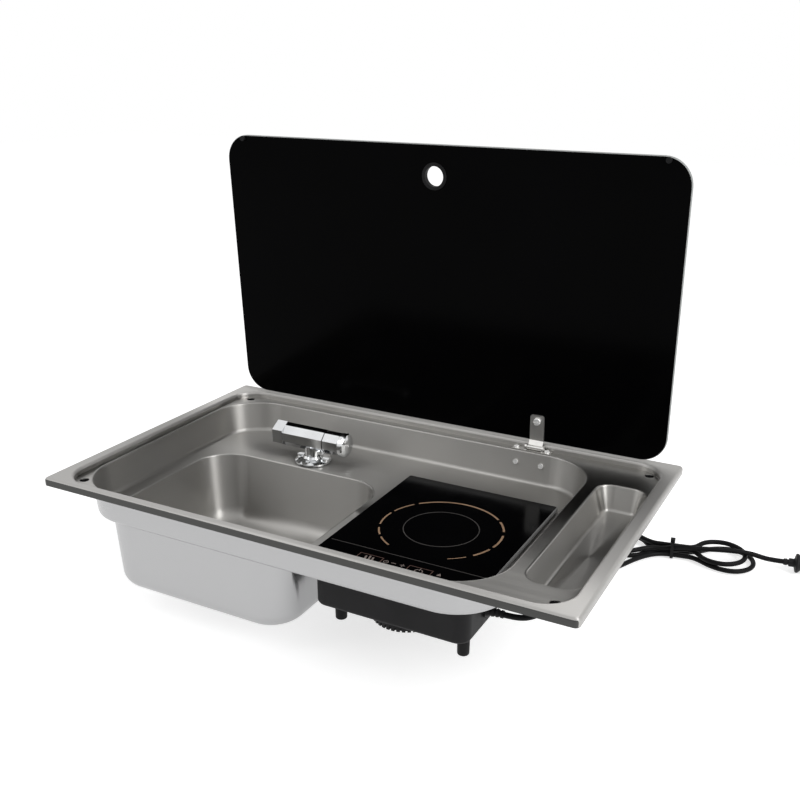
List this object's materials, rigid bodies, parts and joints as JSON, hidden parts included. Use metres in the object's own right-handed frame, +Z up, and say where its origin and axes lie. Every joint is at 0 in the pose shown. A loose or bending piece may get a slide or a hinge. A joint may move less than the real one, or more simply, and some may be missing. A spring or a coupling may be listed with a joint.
{
  "type": "drop-in sink and induction hob combination",
  "caption": "Drop-in steel sink with a deep bowl, a recessed induction hob, a side tray, a swivelling bar tap and a hinged glass lid, with a mains cord.",
  "frame": {"origin": "centre of the four corner fixing holes, in the plane where the lip and the deck sit on the worktop", "axes": "+Z up out of the worktop, +Y to the back where the lid is hinged, +X to the right, towards the tray"},
  "size_m": [0.8895, 0.5866, 0.5776],
  "materials": {
    "steel": "satin, lightly brushed",
    "black_glass": "polished, toughened, opaque black",
    "hob_black_glass": "polished, opaque black, printed ring and key marks",
    "chrome": "bright plated",
    "fastener_steel": "bright zinc or stainless",
    "black_plastic": "fine matt moulding",
    "rubber": "matt",
    "cord_rubber": "satin sheath",
    "grey_plastic": "matt",
    "copper": "lacquered winding",
    "ferrite": "dull fired",
    "circuit_board": "solder mask",
    "aluminium": "extruded",
    "brass": "plain turned",
    "spring_steel": "plain wire"
  },
  "bodies": {
    "unit": {"bowl": "steel", "coil_former": "black_plastic", "control_board": "circuit_board", "cord_gland": "black_plastic", "cord_hank": "cord_rubber", "cord_tie": "cord_rubber", "fan_guard": "black_plastic", "fan_motor": "black_plastic", "ferrite_bars": "ferrite", "heat_sink": "aluminium", "hinge_bracket": "fastener_steel", "hinge_nuts": "fastener_steel", "hinge_pin": "fastener_steel", "hinge_screws": "fastener_steel", "hinge_stiffener": "fastener_steel", "hob_clamps": "fastener_steel", "hob_feet": "black_plastic", "hob_glass": "hob_black_glass", "hob_housing": "black_plastic", "hob_seal": "rubber", "induction_coil": "copper", "plug_body": "cord_rubber", "plug_lead": "cord_rubber", "plug_pins": "brass", "power_board": "circuit_board", "power_cord": "cord_rubber", "rim_deck": "steel", "tap_backnut": "brass", "tap_base": "chrome", "tap_gasket": "rubber", "tap_shank": "brass", "temperature_sensor": "grey_plastic", "touch_springs": "spring_steel", "tray": "steel", "tub": "steel", "waste_body": "black_plastic", "waste_gasket": "rubber", "waste_screw": "fastener_steel", "waste_strainer": "steel"},
    "lid": {"lid_glass": "black_glass", "finger_grommet": "rubber", "lid_pads": "rubber", "hinge_strap": "chrome", "strap_bolt": "chrome", "strap_nut": "chrome"},
    "tap": {"tap_body": "chrome", "tap_outlet": "chrome", "tap_aerator": "grey_plastic", "tap_cartridge": "brass"},
    "knob": {"tap_knob": "chrome"},
    "fan": {"fan_rotor": "black_plastic"}
  },
  "joints": [
    {"name": "lid_hinge", "type": "hinge", "parent": "unit", "child": "lid", "pos_m": [0.154, 0.186, 0.006], "axis": [1, 0, 0], "range_deg": [-5, 87.2]},
    {"name": "tap_swivel", "type": "hinge", "parent": "unit", "child": "tap", "pos_m": [-0.151, 0.101, -0.0085], "axis": [0, 0, 1], "range_deg": [-90, 90]},
    {"name": "tap_knob_turn", "type": "hinge", "parent": "tap", "child": "knob", "pos_m": [-0.115, 0.101, -0.0085], "axis": [1, 0, 0], "range_deg": [0, 90]},
    {"name": "fan_spin", "type": "hinge", "parent": "unit", "child": "fan", "pos_m": [0.107, -0.0975, -0.1], "axis": [0, 0, 1], "continuous": true}
  ]
}
